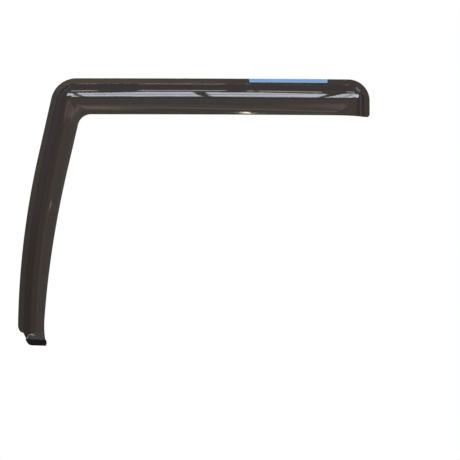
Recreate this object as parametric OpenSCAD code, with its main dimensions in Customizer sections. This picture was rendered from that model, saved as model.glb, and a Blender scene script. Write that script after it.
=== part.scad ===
// A rain deflector for the window of a vehicle's front door. One smoked acrylic moulding runs along the top
// of the window and down the front pillar. A flat flange follows its whole outer edge and seats in the
// window channel. From the flange the section climbs a slope and rounds a shoulder into the hood's face,
// which ends in a trimmed free edge. The same section turns down round the rear end and closes it, and at
// the foot of the leg the hood rolls in towards the glass, under a rubber cap.
// X runs along the window towards the rear, +Z is up, and the outside of the vehicle is towards -Y. The
// flange's back face lies at y = 0. The origin is on that face, at the middle of the top run, on the
// flange's centreline.

/* [Top run] */
// Length from the sharp front corner of the outline to the rear end
top_len = 707; // [450:5:1000]
// Height from the top edge down to the free edge
bar_h = 82; // [72:1:110]
// Fall of the top edge towards the rear end
roof_drop = 3; // [0:0.5:20]
// Radius of the outline at the front corner
front_r = 58; // [30:1:80]
// Radius of the free edge inside the front corner
inner_r = 30; // [10:1:60]
// Radius of the outline at the upper rear corner
rear_r = 48; // [30:1:68]
// Radius of the shoulder's line where it turns at both corners
shoulder_turn_r = 9; // [6:0.5:14]
// Width of the slope and shoulder at the rear end, as a share of their width along the top run
rear_squeeze = 0.62; // [0.55:0.01:1]
// Radius of the lower rear corner
rear_tip_r = 7; // [2:0.5:9.5]
// Extra length of the rear end wall below the free edge
rear_drop = 3.4; // [0:0.2:10]

/* [Front leg] */
// Lean of the straight part of the leg from the vertical, in degrees
leg_lean = 12.75; // [6:0.05:22]
// Straight part between the front corner and the bend
leg_straight = 89; // [30:1:200]
// Radius of the long bend that brings the leg upright
leg_bend_r = 1850; // [900:10:2600]
// Upright length below the bend
leg_upright = 17; // [10:1:80]
// Width of the leg below the front corner
leg_w = 73; // [64:0.5:90]
// Width of the leg above the foot
foot_w = 58.5; // [55:0.5:63]
// Depth of the hood above the foot, as a share of its depth along the top run
leg_depth = 0.85; // [0.6:0.01:1]

/* [Foot] */
// Length of the foot, over which the free edge flares and the hood rolls in
foot_len = 60; // [48:1:90]
// How far the free edge flares out over the foot
foot_flare = 6.5; // [0:0.5:8]
// Height at which the flange stops, above the tip
flange_stop = 28; // [22:0.5:34]
// Height of the rounding at the end of the flange
flange_stop_round = 18; // [8:0.5:19]
// Width of the slanted edge between the end of the flange and the tip
foot_slant = 14; // [9:0.5:17]
// Height of the rounding where the slanted edge meets the tip
slant_round = 9; // [1:0.5:12]
// Height by which the tip's lower edge falls towards the free edge
tip_fall = 2.5; // [0:0.5:5]
// Length over which the hood rolls in towards the glass
roll_len = 36; // [24:1:48]
// Depth left at the tip, as a share of the depth above the foot
roll_depth = 0.35; // [0.25:0.01:0.8]
// Radius of the tip's lower corner at the free edge
foot_tip_r = 4; // [2:0.5:8]

/* [Section] */
// Thickness of the moulding
wall = 3; // [2:0.1:4]
// Width of the flat flange
flange_w = 12; // [10:0.5:16]
// Radius of the hollow bend from the flange into the slope
heel_r = 0.6; // [0.4:0.1:6]
// Steepness of the slope, in degrees from the glass
slope = 47; // [42:1:64]
// Radius of the rounded shoulder
shoulder_r = 27; // [12:0.5:30]
// Height of the shoulder's end in front of the flange
shoulder_h = 23.5; // [20:0.5:30]
// Slant of the face where it leaves the shoulder, in degrees
face_angle = 8; // [4:0.5:12]
// Slant of the face at the free edge, in degrees
edge_angle = 1; // [0:0.5:4]

/* [Adhesive tape] */
// Length of the tape and its liner
tape_len = 176; // [60:1:260]
// Width of the tape and its liner
tape_w = 8.2; // [5:0.2:9.4]
// Thickness of the foam tape
tape_t = 0.8; // [0.5:0.1:2]
// Thickness of the liner film
liner_t = 0.2; // [0.15:0.05:0.4]
// Distance from the rear end to the tape
tape_from_rear = 95; // [75:1:130]
// Distance from the flange's outer edge to the tape
tape_from_edge = 0.3; // [0.2:0.1:1]

/* [End cap] */
// Height of the cap at the slanted edge
cap_len = 14; // [10:0.5:18]
// Height of the cap at the free edge
cap_len_free = 10; // [8:0.5:14]
// Thickness of the rubber
cap_t = 1.3; // [1:0.1:2.5]
// Clearance between the moulding and the inside of the cap
cap_gap = 0.3; // [0.2:0.05:0.5]

/* [Hidden] */

// How finely each stretch is divided: along the part first, then across its section
foot_steps = 14;
bend_steps = 10;
straight_steps = 2;
corner_steps = 14;
run_steps = 8;
rear_steps = 14;
end_steps = 3;
flange_steps = 5;
heel_steps = 3;
slope_steps = 4;
shoulder_steps = 7;
face_steps = 4;
cap_rows = 6;
cap_face_steps = 7;
smoke = [0.23, 0.21, 0.2];

function lerp(a, b, t) = a + (b - a) * t;
function clamp01(t) = min(1, max(0, t));
function ease(t) = let (c = clamp01(t)) c * c * (3 - 2 * c);
// The larger of h and 0, rounded where one takes over from the other
function soft_floor(h, r) = h >= r ? h : h <= -r ? 0 : (h + r) * (h + r) / (4 * r);
// How far a corner of radius r leaves its edge, at distance d inside the corner's end
function corner_lift(r, d) = d >= r ? 0 : r - sqrt(r * r - (r - max(0, d)) * (r - max(0, d)));

// The section: height in front of the flange, for a distance v from the outer edge
heel_end = flange_w + heel_r * sin(slope);
heel_h = heel_r * (1 - cos(slope));
slope_h = shoulder_h - shoulder_r * (cos(face_angle) - cos(slope));
slope_end = heel_end + (slope_h - heel_h) / tan(slope);
shoulder_end = slope_end + shoulder_r * (sin(slope) - sin(face_angle));
face_bend = (tan(face_angle) - tan(edge_angle)) / (bar_h - shoulder_end) / 2;

function rise(v) =
    v <= flange_w ? 0
    : v <= heel_end ? heel_r - sqrt(heel_r * heel_r - (v - flange_w) * (v - flange_w))
    : v <= slope_end ? heel_h + (v - heel_end) * tan(slope)
    : v <= shoulder_end ?
        let (c = shoulder_r * sin(slope) - (v - slope_end))
        slope_h + sqrt(shoulder_r * shoulder_r - c * c) - shoulder_r * cos(slope)
    : let (x = v - shoulder_end) shoulder_h + tan(face_angle) * x - face_bend * x * x;

// Distances from the outer edge at which the section is drawn. The face takes up the change of width.
fixed_columns = concat(
    [for (j = [0:flange_steps]) flange_w * (1 - cos(90 * j / flange_steps))],
    [for (j = [1:heel_steps]) flange_w + heel_r * sin(slope * j / heel_steps)],
    [for (j = [1:slope_steps]) lerp(heel_end, slope_end, j / slope_steps)],
    [for (j = [1:shoulder_steps])
        slope_end + shoulder_r * (sin(slope) - sin(lerp(slope, face_angle, j / shoulder_steps)))]
);
columns = len(fixed_columns) + face_steps;
function column(i, width) =
    i < len(fixed_columns) ? fixed_columns[i]
    : lerp(shoulder_end, width, (i - len(fixed_columns) + 1) / face_steps);

// The outline of the leg: a is the distance down its outer edge from the sharp corner, v the distance in
// from that edge. Straight first, then round the bend, then upright.
across = [cos(leg_lean), -sin(leg_lean)];
down = [-sin(leg_lean), -cos(leg_lean)];
function corner_centre(p, q) = [(q - p * sin(leg_lean)) / cos(leg_lean), -p];
outer_centre = corner_centre(front_r, front_r);
inner_centre = corner_centre(bar_h + inner_r, leg_w + inner_r);
corner_end = max(outer_centre * down, inner_centre * down);
bend_a = corner_end + leg_straight;
bend_end = bend_a + leg_bend_r * leg_lean * PI / 180;
tip_a = bend_end + leg_upright;
foot_a = tip_a - foot_len;
bend_centre = bend_a * down + leg_bend_r * across;

function leg_at(a, v) =
    a <= bend_a ? a * down + v * across
    : a <= bend_end ?
        let (t = leg_lean - (a - bend_a) / leg_bend_r * 180 / PI)
        bend_centre - (leg_bend_r - v) * [cos(t), -sin(t)]
    : bend_centre + [v - leg_bend_r, bend_end - a];

function foot_share(a) = clamp01((a - foot_a) / foot_len);
function leg_width(a) =
    lerp(foot_w, leg_w, sin(90 * clamp01((bend_end - a) / (bend_end - corner_end))))
    + foot_flare * foot_share(a) * foot_share(a);
function leg_share(a) =
    lerp(1, leg_depth, ease((a - corner_end) / (foot_a - corner_end)))
    * lerp(roll_depth, 1, sin(90 * clamp01((tip_a - a) / roll_len)));
tip_w = leg_width(tip_a);

// How far the lower end of the leg stops above the tip: the flange's rounded end, the slanted edge, the
// tip's own falling edge
function foot_lift(v) =
    let (
        slant = flange_stop * (1 - (v - flange_w) / foot_slant),
        fall = tip_fall * (1 - (v - flange_w) / (tip_w - flange_w))
    )
    v <= flange_w ?
        flange_stop + flange_stop_round * (1 - sqrt(1 - pow(1 - max(0, v) / flange_w, 2)))
    : fall + soft_floor(slant - fall, slant_round) + corner_lift(foot_tip_r, tip_w - v);
function foot_end(v) = tip_a - foot_lift(v);

// Radius of the line of constant v round a corner. The flange keeps its width, so its lines share one
// centre. Over the slope the radius shrinks to the shoulder's, and over the face it moves to the last one's.
function turn_r(v, outer, last, width) =
    v <= flange_w ? outer - v
    : v <= slope_end ? lerp(outer - flange_w, shoulder_turn_r, (v - flange_w) / (slope_end - flange_w))
    : lerp(shoulder_turn_r, last, pow((v - slope_end) / (width - slope_end), 2));

// The front corner
turn = 90 - leg_lean;
function corner_width(t) = lerp(leg_w, bar_h, ease(t / turn));
function corner_at(t, v) =
    let (w = corner_width(t), r = turn_r(v, front_r, inner_r, w))
    corner_centre(v / w * bar_h + r, v / w * leg_w + r) + r * [-cos(leg_lean + t), sin(leg_lean + t)];

// The rear end: the slope and shoulder are narrower there, at the distance rear_in from the end, and the
// arcs shrink to the end of the free edge, where all of them meet
function rear_in(v) =
    let (inner = flange_w + (shoulder_end - flange_w) * rear_squeeze)
    v <= flange_w ? v
    : v <= shoulder_end ? flange_w + (v - flange_w) * rear_squeeze
    : lerp(inner, bar_h, (v - shoulder_end) / (bar_h - shoulder_end));
function arc_r(v) = turn_r(v, rear_r, 0, bar_h);
function rear_at(t, v) =
    [top_len - rear_in(v) - arc_r(v), -v - arc_r(v)] + arc_r(v) * [sin(t), cos(t)];
function rear_foot(d) =
    -bar_h - rear_drop * pow(1 - d / bar_h, 2) + corner_lift(rear_tip_r, d);

// The lines across the part, from the foot to the rear end, each with its kind and its place
stations = concat(
    [for (j = [foot_steps:-1:1]) ["foot", j / foot_steps]],
    [for (j = [0:bend_steps]) ["leg", lerp(foot_a, bend_a, j / bend_steps)]],
    [for (j = [1:straight_steps - 1]) ["straight", j / straight_steps]],
    [for (j = [0:corner_steps]) ["corner", turn * j / corner_steps]],
    [for (j = [1:run_steps - 1]) ["run", j / run_steps]],
    [for (j = [0:rear_steps]) ["rear", 90 * j / rear_steps]],
    [for (j = [1:end_steps]) ["end", j / end_steps]]
);
pole = len(stations) - end_steps - rear_steps - 1;

// Distance down the leg and distance in from its edge, for column i of a line of the foot or leg
function foot_a_at(share, i) = lerp(foot_a, foot_end(column(i, tip_w)), share);
function leg_place(s, i) =
    let (a = s[0] == "foot" ? foot_a_at(s[1], i) : s[1]) [a, column(i, leg_width(a))];

function plan(s, i) =
    s[0] == "foot" || s[0] == "leg" ? let (place = leg_place(s, i)) leg_at(place[0], place[1])
    : s[0] == "straight" ?
        lerp(leg_at(bend_a, column(i, leg_width(bend_a))), corner_at(0, column(i, leg_w)), s[1])
    : s[0] == "corner" ? corner_at(s[1], column(i, corner_width(s[1])))
    : let (v = column(i, bar_h))
        s[0] == "run" ? lerp(corner_at(turn, v), rear_at(0, v), s[1])
        : s[0] == "rear" ? rear_at(s[1], v)
        : [top_len - rear_in(v), lerp(-v - arc_r(v), rear_foot(rear_in(v)), s[1])];

function height(s, i) =
    s[0] == "foot" || s[0] == "leg" ?
        let (place = leg_place(s, i)) rise(place[1]) * leg_share(place[0])
    : s[0] == "straight" ?
        rise(column(i, lerp(leg_width(bend_a), leg_w, s[1]))) * lerp(leg_share(bend_a), 1, ease(s[1]))
    : rise(column(i, s[0] == "corner" ? corner_width(s[1]) : bar_h));

// The fall of the roof line, and the shift that brings the origin to the middle of the top flange
function roof_fall(x) = roof_drop * pow(max(0, x - inner_centre[0]) / (top_len - inner_centre[0]), 2);
seat_x = (outer_centre[0] + top_len - rear_r) / 2;
seat_z = -flange_w / 2 - roof_fall(seat_x);
function placed(p, y) = [p[0] - seat_x, y, p[1] - roof_fall(p[0]) - seat_z];

// Front surface of the moulding, line by line
front = [for (s = stations) [for (i = [0:columns - 1]) placed(plan(s, i), -wall - height(s, i))]];

// Unit normal of a grid of points at one of its points, towards the outside of the vehicle
function normal_at(grid, k, i) =
    let (
        rows = len(grid) - 1,
        last = len(grid[0]) - 1,
        flat = grid[k][i][1] == -wall,
        along = grid[min(rows, k + 1)][i] - grid[max(0, k - 1)][i],
        inward = grid[k][flat && i > 0 ? i : min(last, i + 1)] - grid[k][max(0, i - 1)],
        n = cross(along, inward)
    ) n / norm(n) * (n[1] > 0 ? -1 : 1);

// The same grid moved back along its normals. At and after the pole the last column is one point.
function moved(grid, distance, pole_row) = [
    for (k = [0:len(grid) - 1]) [
        for (i = [0:len(grid[0]) - 1])
            let (row = i == len(grid[0]) - 1 ? min(k, pole_row) : k)
            grid[row][i] + distance * normal_at(grid, row, i)
    ]
];

// Closed solid between a front grid and a back grid. From the pole row on, the last column is one point.
module sheet(outside, inside, pole_row) {
    rows = len(outside);
    cols = len(outside[0]);
    function at(k, i) = (i == cols - 1 ? min(k, pole_row) : k) * cols + i;
    function behind(k, i) = rows * cols + at(k, i);
    quads = concat(
        [for (k = [0:rows - 2]) for (i = [0:cols - 2])
            [at(k, i), at(k + 1, i), at(k + 1, i + 1), at(k, i + 1)]],
        [for (k = [0:rows - 2]) for (i = [0:cols - 2])
            [behind(k, i), behind(k, i + 1), behind(k + 1, i + 1), behind(k + 1, i)]],
        [for (k = [0:rows - 2]) [at(k, 0), behind(k, 0), behind(k + 1, 0), at(k + 1, 0)]],
        [for (k = [0:rows - 2])
            [at(k, cols - 1), at(k + 1, cols - 1), behind(k + 1, cols - 1), behind(k, cols - 1)]],
        [for (i = [0:cols - 2]) [at(0, i), at(0, i + 1), behind(0, i + 1), behind(0, i)]],
        [for (i = [0:cols - 2])
            [at(rows - 1, i), behind(rows - 1, i), behind(rows - 1, i + 1), at(rows - 1, i + 1)]]
    );
    triangles = [for (q = quads) each [[q[0], q[1], q[2]], [q[0], q[2], q[3]]]];
    polyhedron(
        points = [each for (row = outside) row, each for (row = inside) row],
        faces = [for (t = triangles) if (t[0] != t[1] && t[1] != t[2] && t[2] != t[0]) t],
        convexity = 8
    );
}

module smoked_visor() {
    color(smoke) sheet(front, moved(front, -wall, pole), pole);
}

// A strip on the front face of the top flange, from one depth to another in front of that face. It follows
// the fall of the roof line at its own middle.
module flange_strip(from, to) {
    x = top_len - tape_from_rear - tape_len / 2;
    top = placed([x, -tape_from_edge - tape_w / 2], -wall - to);
    fall = atan(roof_fall(x + 0.5) - roof_fall(x - 0.5));
    translate(top)
        rotate([0, fall, 0])
            translate([-tape_len / 2, 0, -tape_w / 2])
                cube([tape_len, to - from, tape_w]);
}

module adhesive_tape() {
    color([0.3, 0.3, 0.32]) flange_strip(0, tape_t);
}

module tape_liner() {
    color([0.44, 0.62, 0.8]) flange_strip(tape_t, tape_t + liner_t);
}

// The tip of the moulding grown by one distance all round, from above the tip downwards. Its slanted side
// starts where the grown slanted edge comes down to the top line. The columns are the moulding's own, with
// more of them towards the free edge, whose lower corner is rounded.
module grown_tip(grow, above) {
    start = flange_w + (flange_stop - cap_len - above) * foot_slant / flange_stop - grow;
    fixed = [start, for (v = fixed_columns) if (v > start + grow) v];
    count = len(fixed) + cap_face_steps;
    function across_tip(j, width) =
        j < len(fixed) ? fixed[j]
        : lerp(shoulder_end, width, sin(90 * (j - len(fixed) + 1) / cap_face_steps));
    function top_line(v) = tip_a - above - lerp(cap_len, cap_len_free, (v - flange_w) / (tip_w - flange_w));
    function tip_place(k, j) =
        let (
            v = across_tip(j, tip_w),
            a = lerp(top_line(v), foot_end(min(tip_w, v + grow)) + grow, k / cap_rows)
        ) [a, across_tip(j, leg_width(a) + grow)];
    surface = [
        for (k = [cap_rows:-1:0]) [
            for (j = [0:count - 1])
                let (p = tip_place(k, j)) placed(leg_at(p[0], p[1]), -wall - rise(p[1]) * leg_share(p[0]))
        ]
    ];
    sheet(moved(surface, grow, cap_rows), moved(surface, -wall - grow, cap_rows), cap_rows);
}

module end_cap() {
    color([0.06, 0.06, 0.06])
        difference() {
            grown_tip(cap_t, 0);
            grown_tip(cap_gap, cap_t);
        }
}

smoked_visor();
adhesive_tape();
tape_liner();
end_cap();
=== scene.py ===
# %% [markdown]
# # A window rain deflector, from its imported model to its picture
#
# The real object is one piece of dark smoked acrylic. It runs along the top of a front door's window and down
# the front pillar, and keeps the rain out while the window is open. A strip of foam tape under a pale blue
# liner holds its top flange, and a black rubber cap covers the tip of its leg.
#
# Each step below first says what a piece is on the real object and how it could be made. Every shape is a
# surface worked out with numpy on a grid of two parameters, in millimetres, in the same frame as the packed
# model: X to the rear, Z up, and the outside of the vehicle towards -Y.

import bpy
import numpy as np
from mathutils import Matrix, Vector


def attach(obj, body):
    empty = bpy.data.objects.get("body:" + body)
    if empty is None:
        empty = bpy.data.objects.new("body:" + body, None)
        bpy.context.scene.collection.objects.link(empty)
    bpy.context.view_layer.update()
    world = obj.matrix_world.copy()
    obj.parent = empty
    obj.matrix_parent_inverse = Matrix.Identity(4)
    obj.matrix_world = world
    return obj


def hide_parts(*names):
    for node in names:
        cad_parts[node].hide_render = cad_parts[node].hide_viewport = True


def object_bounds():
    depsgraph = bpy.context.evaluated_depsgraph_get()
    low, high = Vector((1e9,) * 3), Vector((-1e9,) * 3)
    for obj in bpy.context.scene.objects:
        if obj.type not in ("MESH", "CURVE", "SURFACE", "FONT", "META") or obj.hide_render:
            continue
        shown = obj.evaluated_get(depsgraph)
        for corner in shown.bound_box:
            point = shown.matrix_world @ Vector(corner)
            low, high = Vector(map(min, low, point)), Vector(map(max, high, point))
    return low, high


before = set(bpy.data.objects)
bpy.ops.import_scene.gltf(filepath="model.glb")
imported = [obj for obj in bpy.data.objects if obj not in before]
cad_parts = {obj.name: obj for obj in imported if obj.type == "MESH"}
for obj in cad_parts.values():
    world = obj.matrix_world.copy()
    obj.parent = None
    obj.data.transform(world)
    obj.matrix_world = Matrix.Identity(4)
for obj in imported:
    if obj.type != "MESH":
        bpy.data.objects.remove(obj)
cad_box = [list(corner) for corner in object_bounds()]
print("nodes:", sorted(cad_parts))
print("box of the packed model:", np.round(cad_box, 4).tolist())

# %% [markdown]
# ## The camera
#
# The photograph looks at the deflector squarely, from far away, so that nothing shows a vanishing point. A long
# lens ten metres off gives that view. The picture is 460 pixels square and covers 1.035 m at the object, so the
# focal length follows from similar triangles: sensor width times distance over covered width.

# %% The camera, square on to the window
MM = 0.001
PICTURE_PX, MM_PER_PX = 460, 2.25
VIEW_CENTRE = np.array([39.7, -12.0, -335.3]) * MM
CAMERA_AWAY = 10.0


def add_camera():
    """A camera that looks along +Y. Focal length = sensor width x distance / width covered."""
    data = bpy.data.cameras.new("photo_camera")
    data.sensor_width = 36.0
    data.lens = data.sensor_width * CAMERA_AWAY / (PICTURE_PX * MM_PER_PX * MM)
    camera = bpy.data.objects.new("photo_camera", data)
    camera.location = VIEW_CENTRE - [0, CAMERA_AWAY, 0]
    camera.rotation_euler = (np.pi / 2, 0, 0)
    bpy.context.scene.collection.objects.link(camera)
    bpy.context.scene.camera = camera
    return camera


camera = add_camera()
bpy.context.scene.view_settings.view_transform = "Standard"
print("focal length in mm:", round(camera.data.lens, 1))

# %% [markdown]
# ## The sizes
#
# The sizes are those of the part's own source, except that the heel, where the slope leaves the flange, is
# rounded more tightly here. The shape is described by two numbers: how far a point lies along the part, and
# its distance v in from the outer edge. The section alone says how high the moulding stands in front of its
# flange at each v.

# %% Sizes in millimetres and degrees
top_len, bar_h, roof_drop = 707.0, 82.0, 3.0
front_r, inner_r, rear_r, rear_tip_r, rear_drop = 58.0, 30.0, 48.0, 7.0, 3.4
shoulder_turn_r, rear_squeeze = 9.0, 0.62
leg_lean, leg_straight, leg_bend_r, leg_upright = np.radians(12.75), 89.0, 1850.0, 17.0
leg_w, foot_w, leg_depth = 73.0, 58.5, 0.85
foot_len, foot_flare, flange_stop, flange_stop_round = 60.0, 6.5, 28.0, 18.0
foot_slant, slant_round, tip_fall, roll_len, roll_depth, foot_tip_r = 14.0, 9.0, 2.5, 36.0, 0.35, 4.0
wall, flange_w, heel_r, slope = 3.0, 12.0, 0.25, np.radians(47)
shoulder_r, shoulder_h, face_angle, edge_angle = 27.0, 23.5, np.radians(8), np.radians(1)
tape_len, tape_w, tape_t, liner_t, tape_from_rear, tape_from_edge = 176.0, 8.2, 0.8, 0.2, 95.0, 0.3
cap_len, cap_len_free, cap_t, cap_gap = 14.0, 10.0, 1.3, 0.3

heel_end = flange_w + heel_r * np.sin(slope)
heel_h = heel_r * (1 - np.cos(slope))
slope_h = shoulder_h - shoulder_r * (np.cos(face_angle) - np.cos(slope))
slope_end = heel_end + (slope_h - heel_h) / np.tan(slope)
shoulder_end = slope_end + shoulder_r * (np.sin(slope) - np.sin(face_angle))
face_bend = (np.tan(face_angle) - np.tan(edge_angle)) / (bar_h - shoulder_end) / 2
print("the shoulder runs from", round(slope_end, 2), "to", round(shoulder_end, 2), "mm from the edge")


# %% The section
def rise(v):
    """Height in front of the flange: 0, then an arc, a straight slope, a rounder arc, and a parabola."""
    v = np.asarray(v, float)
    c = shoulder_r * np.sin(slope) - (v - slope_end)
    x = v - shoulder_end
    heel = heel_r - np.sqrt(np.maximum(0, heel_r**2 - (v - flange_w) ** 2))
    shoulder = slope_h + np.sqrt(np.maximum(0, shoulder_r**2 - c**2)) - shoulder_r * np.cos(slope)
    face = shoulder_h + np.tan(face_angle) * x - face_bend * x**2
    return np.select(
        [v <= flange_w, v <= heel_end, v <= slope_end, v <= shoulder_end],
        [0, heel, heel_h + (v - heel_end) * np.tan(slope), shoulder],
        face,
    )


print("heights at 0, 20, 35, 60 and 82 mm:", np.round(rise([0, 20, 35, 60, 82]), 2).tolist())


# %% Small helpers for shares and blends
def lerp(a, b, t):
    """a, plus the share t of the way to b."""
    return a + (b - a) * t


def share_of(t):
    """t, kept between 0 and 1."""
    return np.clip(t, 0, 1)


def ease(t):
    """3t squared minus 2t cubed: starts and ends level."""
    t = share_of(t)
    return t * t * (3 - 2 * t)


def soft_floor(h, r):
    """The larger of h and 0, with a parabola of half width r where one takes over from the other."""
    return np.where(h >= r, h, np.where(h <= -r, 0, (h + r) ** 2 / (4 * r)))


def corner_lift(r, d):
    """How far a rounded corner of radius r leaves its edge, at distance d inside the corner's end."""
    return r - np.sqrt(r * r - np.clip(r - d, 0, r) ** 2)


def pair(x, z):
    """Two arrays as one array of points in the plane of the window."""
    return np.stack(np.broadcast_arrays(x, z), -1)


# %% [markdown]
# ## The outline of the leg, the corner and the rear end
#
# In the plane of the window the leg is straight, then bends on a long radius, then stands upright. The front
# corner is a fan of arcs: wide round the flange, tight round the shoulder, and wider again at the free edge.
# At the rear the slope is narrower, and the arcs shrink to one point, where the free edge of the hood ends.

# %% The leg: straight, round its bend, upright
across = np.array([np.cos(leg_lean), -np.sin(leg_lean)])
down = np.array([-np.sin(leg_lean), -np.cos(leg_lean)])


def corner_centre(p, q):
    """The point p below the top line and q in from the leg's line."""
    return np.array([(q - p * np.sin(leg_lean)) / np.cos(leg_lean), -p])


outer_centre = corner_centre(front_r, front_r)
inner_centre = corner_centre(bar_h + inner_r, leg_w + inner_r)
corner_end = max(outer_centre @ down, inner_centre @ down)
bend_a = corner_end + leg_straight
bend_end = bend_a + leg_bend_r * leg_lean
tip_a = bend_end + leg_upright
foot_a = tip_a - foot_len
bend_centre = bend_a * down + leg_bend_r * across


def leg_at(a, v):
    """The point a down the leg's outer edge and v in from it: on a line, on an arc, on a line again."""
    a, v = (x[..., None] for x in np.broadcast_arrays(np.asarray(a, float), v))
    t = leg_lean - (a - bend_a) / leg_bend_r
    arc = bend_centre - (leg_bend_r - v) * np.concatenate([np.cos(t), -np.sin(t)], -1)
    upright = bend_centre + np.concatenate([v - leg_bend_r, bend_end - a], -1)
    return np.where(a <= bend_a, a * down + v * across, np.where(a <= bend_end, arc, upright))


def leg_width(a):
    """Width of the leg: a quarter sine from the foot's width up to the corner's, plus the foot's flare."""
    grow = np.sin(np.pi / 2 * share_of((bend_end - a) / (bend_end - corner_end)))
    return lerp(foot_w, leg_w, grow) + foot_flare * share_of((a - foot_a) / foot_len) ** 2


def leg_share(a):
    """Share of the section's full height: it eases down the leg and rolls in at the foot as a quarter sine."""
    roll = lerp(roll_depth, 1, np.sin(np.pi / 2 * share_of((tip_a - a) / roll_len)))
    return lerp(1, leg_depth, ease((a - corner_end) / (foot_a - corner_end))) * roll


tip_w = leg_width(tip_a)


def foot_end(v):
    """Where the leg ends at v: the flange's rounded end, then the slanted edge, then the tip's corner."""
    stop = flange_stop + flange_stop_round * (1 - np.sqrt(1 - share_of(1 - v / flange_w) ** 2))
    fall = tip_fall * (1 - (v - flange_w) / (tip_w - flange_w))
    slant = fall + soft_floor(flange_stop * (1 - (v - flange_w) / foot_slant) - fall, slant_round)
    return tip_a - np.where(v <= flange_w, stop, slant + corner_lift(foot_tip_r, tip_w - v))


print("the leg is", round(tip_a, 1), "mm long and", round(tip_w, 1), "mm wide at its tip")

# %% The front corner and the rear end
turn = np.pi / 2 - leg_lean


def corner_width(t):
    """Width of the moulding round the corner, eased from the leg's to the top run's."""
    return lerp(leg_w, bar_h, ease(t / turn))


def turn_r(v, outer, last, width):
    """Radius of an arc: less v over the flange, down to the shoulder's over the slope, on to the last one's."""
    slope_share = (v - flange_w) / (slope_end - flange_w)
    face_share = share_of((v - slope_end) / (width - slope_end)) ** 2
    on_slope = lerp(outer - flange_w, shoulder_turn_r, slope_share)
    on_face = lerp(shoulder_turn_r, last, face_share)
    return np.where(v <= flange_w, outer - v, np.where(v <= slope_end, on_slope, on_face))


def corner_at(t, v):
    """A point on the arc of v at the angle t. Its centre keeps the arc v away from both straight edges."""
    t, v = np.broadcast_arrays(t, v)
    w = corner_width(t)
    r = turn_r(v, front_r, inner_r, w)
    x, z = corner_centre(v / w * bar_h + r, v / w * leg_w + r)
    return pair(x - r * np.cos(leg_lean + t), z + r * np.sin(leg_lean + t))


def rear_in(v):
    """Distance from the rear end of the line of v: the slope and shoulder are squeezed, the face makes up."""
    inner = flange_w + (shoulder_end - flange_w) * rear_squeeze
    squeezed = flange_w + (v - flange_w) * rear_squeeze
    face = lerp(inner, bar_h, (v - shoulder_end) / (bar_h - shoulder_end))
    return np.select([v <= flange_w, v <= shoulder_end], [v, squeezed], face)


def arc_r(v):
    """Radius of the rear arcs, which shrink to nothing at the end of the free edge."""
    return turn_r(v, rear_r, 0, bar_h)


def rear_at(t, v):
    """A point on the rear arc of v at the angle t."""
    r = arc_r(v)
    return pair(top_len - rear_in(v) - r + r * np.sin(t), -v - r + r * np.cos(t))


def rear_foot(d):
    """Height of the rear end's lower edge at d from the end: it drops, and rounds its corner."""
    return -bar_h - rear_drop * (1 - d / bar_h) ** 2 + corner_lift(rear_tip_r, d)


# %% From the plane of the window to the frame of the part
def roof_fall(x):
    """How far the roof line has fallen at x: a parabola from the inner corner to the rear end."""
    return roof_drop * (np.maximum(0, x - inner_centre[0]) / (top_len - inner_centre[0])) ** 2


seat_x = (outer_centre[0] + top_len - rear_r) / 2
seat_z = -flange_w / 2 - roof_fall(seat_x)


def placed(plan, y):
    """Points of the plane at depth y, shifted so that the origin is at the middle of the top flange."""
    return np.stack(
        np.broadcast_arrays(plan[..., 0] - seat_x, y, plan[..., 1] - roof_fall(plan[..., 0]) - seat_z), -1
    )


print("shift of the origin:", round(seat_x, 2), round(seat_z, 2))

# %% [markdown]
# ## The moulding as one grid
#
# The lines across the part follow each other from the foot to the rear end. Across each line the columns lie
# closer where the section bends and at both edges, where the sheet will be rounded off.

# %% Columns across the moulding
RIM = 0.6  # width of the rounded edge
HEEL_GUARD = 0.15  # gap between the heel and the next column on each side, which keeps its light crisp
END_WALL = 37.0  # about the height of the rear end's wall, for the crowding of its last lines
crowd = RIM * (1 - np.cos(np.linspace(0, np.pi / 2, 5)))
fixed_columns = np.concatenate(
    [
        crowd,
        np.linspace(RIM, flange_w - HEEL_GUARD, 8)[1:],
        flange_w + heel_r * np.sin(np.linspace(0, slope, 5)),
        np.linspace(heel_end + HEEL_GUARD, slope_end, 6),
        slope_end + shoulder_r * (np.sin(slope) - np.sin(np.linspace(slope, face_angle, 21)[1:])),
    ]
)


def columns(width):
    """Distances v for lines of the given widths: the face alone takes up the change of width."""
    width = np.atleast_1d(np.asarray(width, float))[:, None]
    face = lerp(shoulder_end, width - RIM, np.linspace(0, 1, 13)[1:])
    fixed = np.broadcast_to(fixed_columns, (len(width), len(fixed_columns)))
    return np.concatenate([fixed, face, width - crowd[-2::-1]], 1)


print("columns across the moulding:", columns(bar_h).shape[1])


# %% Lines along the moulding
def foot_lines():
    """Each column runs from the foot's top to its own end; the lines crowd together at that end."""
    share = np.concatenate([1 - crowd / foot_len, np.linspace(1 - RIM / foot_len, 0, 27)[1:-1]])[:, None]
    v_tip = columns(tip_w)
    a = lerp(foot_a, foot_end(v_tip), share)
    on_face = np.arange(v_tip.shape[1]) >= len(fixed_columns)
    reach = (v_tip - shoulder_end) / (tip_w - shoulder_end)
    v = np.where(on_face, lerp(shoulder_end, leg_width(a), reach), v_tip)
    return placed(leg_at(a, v), -wall - rise(v) * leg_share(a))


def leg_lines():
    """Lines square to the leg, from the foot up to the end of the bend."""
    a = np.linspace(foot_a, bend_a, 49)[:, None]
    v = columns(leg_width(a[:, 0]))
    return placed(leg_at(a, v), -wall - rise(v) * leg_share(a))


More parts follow.
